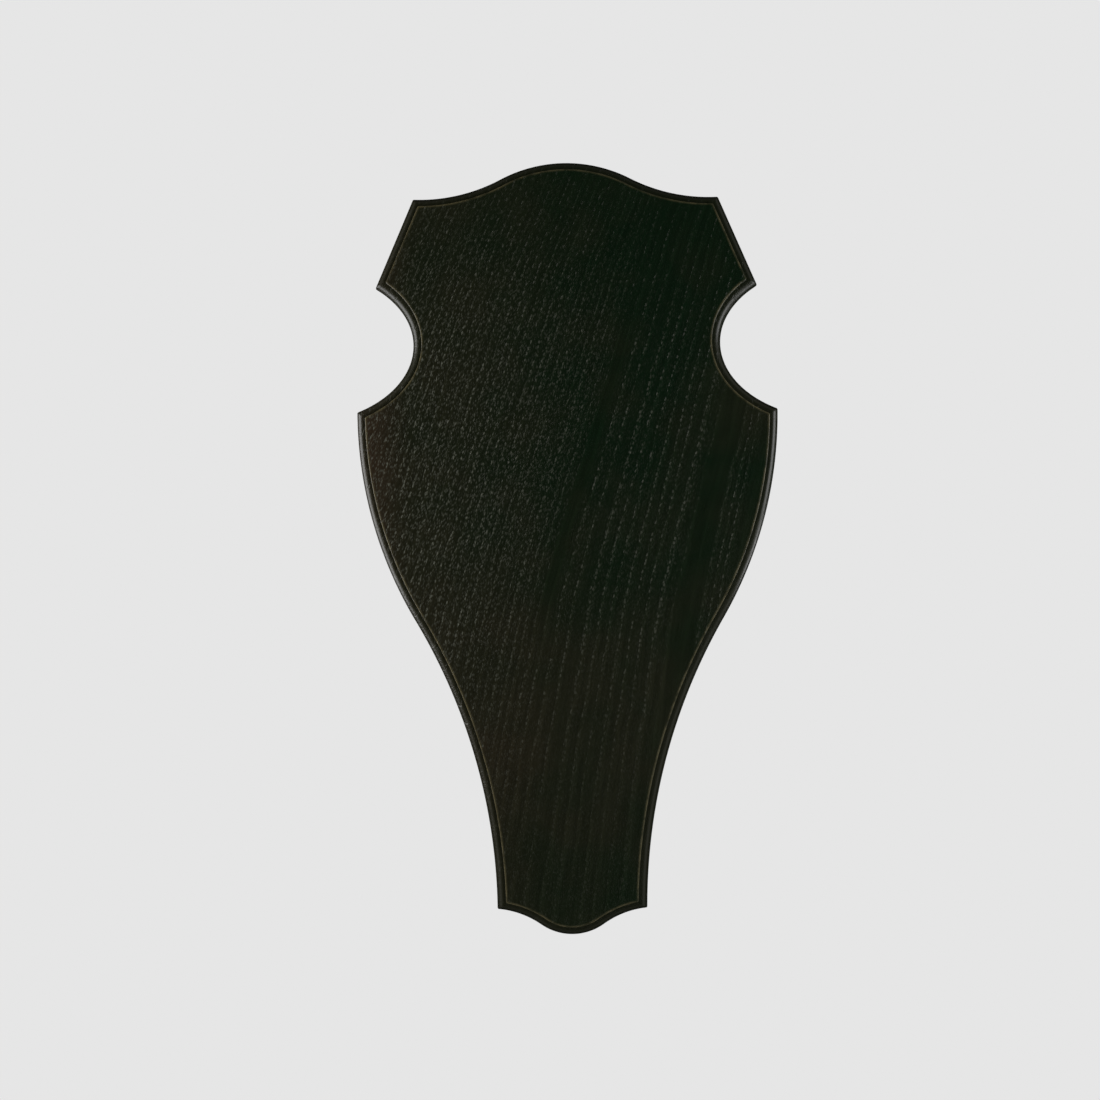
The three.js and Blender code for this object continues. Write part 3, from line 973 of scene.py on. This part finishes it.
def soft_light(name, box, watts, reflected, tint=WHITE, tilt=0.0):
    """A rectangular soft light, turned to what it looks at and hidden from the camera.

    The box is its width and height, its place and the point it looks at. The tilt, in degrees,
    turns it about the way it shines. One that isn't reflected lights the wood's own colour without
    a glint in the lacquer.
    """
    size, place, target = box
    lamp = bpy.data.lights.new(name, "AREA")
    lamp.shape = "RECTANGLE"
    lamp.size, lamp.size_y = size
    lamp.energy = watts
    lamp.color = tint
    light = bpy.data.objects.new(name, lamp)
    bpy.context.scene.collection.objects.link(light)
    light.location = place
    aim = (Vector(target) - Vector(place)).to_track_quat("-Z", "Y").to_matrix()
    light.rotation_euler = (aim @ Matrix.Rotation(math.radians(tilt), 3, "Z")).to_euler()
    light.visible_camera = False
    light.visible_glossy = reflected
    return light


def photo_camera(size, edge, studio):
    """The camera at the photograph's viewing angle, square to the board.

    The lens axis meets the plane of the board's outer edge where the photograph has it, the focal
    length gives the board its size in the photograph at that distance, and the sensor's shift puts
    the lens axis at its own place in the picture.
    """
    scale = BOARD_HEIGHT_PX / size.height
    right = LENS_AXIS_PX[0] - BOARD_CENTRE_PX[0]
    up = BOARD_CENTRE_PX[1] - LENS_AXIS_PX[1]
    turn = Matrix.Rotation(studio.roll, 2)
    aside, rise = turn @ Vector((right / scale, up / scale))
    edge_plane = -(size.thickness - edge.step_height - edge.round_height)
    lens = bpy.data.cameras.new("photo_camera")
    lens.sensor_width = SENSOR_WIDTH_MM
    lens.lens = SENSOR_WIDTH_MM * scale * studio.distance / PHOTO_SIDE_PX
    lens.shift_x = (PHOTO_SIDE_PX / 2 - LENS_AXIS_PX[0]) / PHOTO_SIDE_PX
    lens.shift_y = (LENS_AXIS_PX[1] - PHOTO_SIDE_PX / 2) / PHOTO_SIDE_PX
    lens.clip_start, lens.clip_end = 0.01, 10.0
    camera = bpy.data.objects.new("photo_camera", lens)
    bpy.context.scene.collection.objects.link(camera)
    facing = Matrix.Rotation(math.pi / 2, 4, "X") @ Matrix.Rotation(studio.roll, 4, "Z")
    camera.matrix_world = Matrix.Translation((aside, edge_plane - studio.distance, rise)) @ facing
    return camera


def studio_world(studio):
    """A plain pale backdrop for the camera. Other rays find a dim room, darker in front and behind."""
    world = bpy.data.worlds.new("studio")
    world.use_nodes = True
    tree = world.node_tree
    tree.nodes.clear()
    way = add_node(tree, "ShaderNodeTexCoord").outputs["Generated"]
    aside, ahead, _ = add_node(tree, "ShaderNodeSeparateXYZ", {0: way}).outputs
    level = ramp(tree, maths(tree, "ABSOLUTE", aside), *SIDE_WALLS)
    around = mix_colour(tree, level, opaque(studio.walls), opaque(studio.sides))
    front = ramp(tree, ahead, *FRONT_ENDS)
    around = mix_colour(tree, front, opaque(studio.dark_room), around)
    back = ramp(tree, ahead, *BEHIND_BEGINS)
    around = mix_colour(tree, back, around, opaque(studio.behind))
    seen = add_node(tree, "ShaderNodeLightPath").outputs["Is Camera Ray"]
    shown = mix_colour(tree, seen, around, opaque(studio.backdrop))
    light = add_node(tree, "ShaderNodeBackground", {"Color": shown})
    output = tree.nodes.new("ShaderNodeOutputWorld")
    tree.links.new(light.outputs[0], output.inputs[0])
    return world


def pale_floor(level, radius):
    """A plain pale disc below the board, out of the camera's view and not mirrored in the lacquer."""
    turn = np.linspace(0, 2 * math.pi, 129)[:-1]
    rim = np.stack([radius * np.cos(turn), radius * np.sin(turn), np.full_like(turn, level)], axis=1)
    floor = new_object("floor", rim, [list(range(len(rim)))])
    material = bpy.data.materials.new("pale_floor")
    material.use_nodes = True
    shader = material.node_tree.nodes["Principled BSDF"]
    shader.inputs["Base Color"].default_value = (0.74, 0.74, 0.74, 1.0)
    shader.inputs["Roughness"].default_value = 0.85
    floor.data.materials.append(material)
    floor.visible_glossy = False


class PLAQUE_OT_studio(bpy.types.Operator):
    """Make the studio: the camera, the soft lights, the backdrop and the floor"""

    bl_idname = "plaque.studio"
    bl_label = "Studio"

    def execute(self, context):
        scene = context.scene
        studio = scene.plaque_studio
        scene.camera = photo_camera(scene.plaque_outline, scene.plaque_edge, studio)
        scene.world = studio_world(studio)
        scene.view_settings.view_transform = "Standard"
        soft_light("left_box", LEFT_BOX, studio.left_power, True, tilt=LEFT_BOX_TILT_DEG)
        soft_light("right_box", RIGHT_BOX, studio.right_power, True)
        soft_light("right_low_box", LOW_BOX, studio.low_power, True)
        soft_light("fill", FILL_LIGHT, studio.fill_power, False)
        soft_light("key", KEY_LIGHT, studio.key_power, False, WARM_WHITE)
        soft_light("rear", REAR_LIGHT, studio.rear_power, False)
        pale_floor(FLOOR_LEVEL, FLOOR_RADIUS)
        return {"FINISHED"}


class PLAQUE_PT_sidebar(bpy.types.Panel):
    """The plaque's tools and sizes"""

    bl_idname = "PLAQUE_PT_sidebar"
    bl_label = "Antler plaque"
    bl_space_type = "VIEW_3D"
    bl_region_type = "UI"
    bl_category = "Plaque"

    def draw(self, context):
        layout = self.layout
        for operator in OPERATORS:
            layout.operator(operator.bl_idname)
        for name, group in GROUPS.items():
            box = layout.box()
            for setting in group.__annotations__:
                box.prop(getattr(context.scene, name), setting)


GROUPS = {
    "plaque_outline": PlaqueOutline,
    "plaque_edge": PlaqueEdge,
    "plaque_keyhole": PlaqueKeyhole,
    "plaque_finish": PlaqueFinish,
    "plaque_studio": PlaqueStudio,
}
OPERATORS = (PLAQUE_OT_studio, PLAQUE_OT_board)
CLASSES = (*GROUPS.values(), *OPERATORS, PLAQUE_PT_sidebar)


def register():
    """Registers the classes and hangs each group of settings on the scene."""
    for item in CLASSES:
        bpy.utils.register_class(item)
    for name, group in GROUPS.items():
        setattr(bpy.types.Scene, name, PointerProperty(type=group))


def unregister():
    """Takes the settings off the scene and the classes out again."""
    for name in GROUPS:
        delattr(bpy.types.Scene, name)
    for item in reversed(CLASSES):
        bpy.utils.unregister_class(item)


def main():
    register()
    bpy.ops.plaque.studio()
    bpy.ops.plaque.board()
    bpy.context.view_layer.update()


if __name__ == "__main__":
    main()
